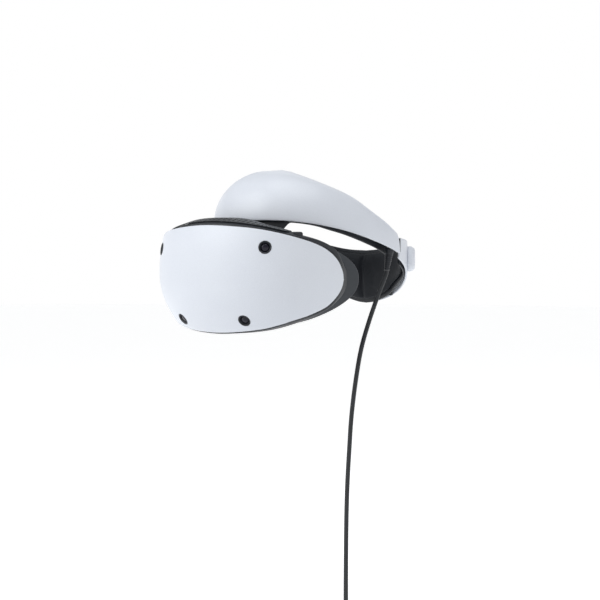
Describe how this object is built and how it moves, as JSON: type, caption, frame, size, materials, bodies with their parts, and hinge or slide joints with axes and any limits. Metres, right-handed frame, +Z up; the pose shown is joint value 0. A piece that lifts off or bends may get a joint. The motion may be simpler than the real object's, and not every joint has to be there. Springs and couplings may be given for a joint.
{
  "type": "vr headset",
  "caption": "Head-mounted display: curved white front cover with tracking cameras over a dark optics housing and light shield, halo headband with rear dial, and a coiled lead with its plug.",
  "frame": {"origin": "middle of the head opening, on the mid-plane, level with the two lens axes", "axes": "+X towards the wearer's left, -Y forward (the way the wearer looks), +Z up as worn"},
  "size_m": [0.2056, 0.2787, 0.4721],
  "materials": {
    "white_shell": "fine satin moulded plastic",
    "black_plastic": "fine matt moulded plastic",
    "dark_gloss": "satin dark plastic",
    "foam_cover": "fine knitted cover over foam",
    "shield_rubber": "soft matt rubber",
    "cord_jacket": "satin cord jacket",
    "lens_glass": "clear lens",
    "camera_glass": "dark polished window",
    "circuit_board": "solder mask",
    "screw_steel": "zinc plated",
    "plug_steel": "nickel plated"
  },
  "bodies": {
    "headband": {"front_band_shell": "white_shell", "front_band_liner": "black_plastic", "forehead_pad": "foam_cover", "slide_rail": "dark_gloss", "cable_gland": "black_plastic", "cord_tube": "cord_jacket", "cord_coil": "cord_jacket", "coil_tie": "shield_rubber", "cord_tail": "cord_jacket", "plug_body": "black_plastic", "plug_shell": "plug_steel"},
    "rear_band": {"rear_band_shell": "white_shell", "rear_frame": "black_plastic", "rear_pad": "foam_cover", "strap_left": "dark_gloss", "strap_right": "dark_gloss", "earbud_holder_left": "white_shell", "earbud_holder_right": "white_shell", "headphone_jack": "dark_gloss"},
    "rear_dial": {"rear_dial": "white_shell"},
    "release_button": {"release_button": "dark_gloss"},
    "scope": {"visor_shell": "white_shell", "scope_housing": "black_plastic", "vent_strip": "dark_gloss", "lens_plate": "black_plastic", "light_shield_frame": "black_plastic", "light_shield": "shield_rubber", "main_board": "circuit_board", "fan_housing": "black_plastic", "proximity_sensor": "camera_glass", "camera_bezel_upper_left": "black_plastic", "camera_bezel_upper_right": "black_plastic", "camera_bezel_lower_left": "black_plastic", "camera_bezel_lower_right": "black_plastic", "camera_lens_upper_left": "camera_glass", "camera_lens_upper_right": "camera_glass", "camera_lens_lower_left": "camera_glass", "camera_lens_lower_right": "camera_glass", "lens_plate_screw_1": "screw_steel", "lens_plate_screw_2": "screw_steel", "lens_plate_screw_3": "screw_steel", "lens_plate_screw_4": "screw_steel"},
    "left_optics": {"lens_barrel_left": "black_plastic", "lens_left": "lens_glass", "display_left": "dark_gloss"},
    "right_optics": {"lens_barrel_right": "black_plastic", "lens_right": "lens_glass", "display_right": "dark_gloss"},
    "ipd_dial": {"ipd_dial": "black_plastic"},
    "scope_button": {"scope_button": "black_plastic"},
    "power_button": {"power_button": "dark_gloss"},
    "function_button": {"function_button": "dark_gloss"},
    "fan_rotor": {"fan_rotor": "black_plastic"}
  },
  "joints": [
    {"name": "scope_slide", "type": "slide", "parent": "headband", "child": "scope", "axis": [0, -1, 0], "range_m": [0, 0.03]},
    {"name": "rear_band_slide", "type": "slide", "parent": "headband", "child": "rear_band", "axis": [0, 0.9354, -0.3536], "range_m": [0, 0.04]},
    {"name": "rear_dial_turn", "type": "hinge", "parent": "rear_band", "child": "rear_dial", "pos_m": [0, 0.125, 0.002], "axis": [0, 1, 0], "range_deg": [0, 288]},
    {"name": "release_button_press", "type": "slide", "parent": "rear_dial", "child": "release_button", "axis": [0, -1, 0], "range_m": [0, 0.002], "stiffness_N_per_m": 500},
    {"name": "left_lens_slide", "type": "slide", "parent": "scope", "child": "left_optics", "axis": [1, 0, 0], "range_m": [-0.004, 0.004]},
    {"name": "right_lens_slide", "type": "slide", "parent": "scope", "child": "right_optics", "axis": [-1, 0, 0], "range_m": [-0.0042, 0.0042]},
    {"name": "ipd_dial_turn", "type": "hinge", "parent": "scope", "child": "ipd_dial", "pos_m": [0.08, -0.097, 0.04], "axis": [0, 0, 1], "range_deg": [-72, 72]},
    {"name": "scope_button_press", "type": "slide", "parent": "scope", "child": "scope_button", "axis": [0, 0, -1], "range_m": [0, 0.0012], "stiffness_N_per_m": 500},
    {"name": "power_button_press", "type": "slide", "parent": "scope", "child": "power_button", "axis": [0, 0, 1], "range_m": [0, 0.001], "stiffness_N_per_m": 500},
    {"name": "function_button_press", "type": "slide", "parent": "scope", "child": "function_button", "axis": [0, 0, 1], "range_m": [0, 0.001], "stiffness_N_per_m": 500},
    {"name": "fan_spin", "type": "hinge", "parent": "scope", "child": "fan_rotor", "pos_m": [0, -0.115, 0.04], "axis": [0, 0, 1], "continuous": true}
  ],
  "couplings": [
    {"joint": "rear_dial_turn", "follows": "rear_band_slide", "rad_per_m": 125},
    {"joint": "right_lens_slide", "follows": "left_lens_slide", "ratio": 1},
    {"joint": "ipd_dial_turn", "follows": "left_lens_slide", "rad_per_m": 300}
  ]
}
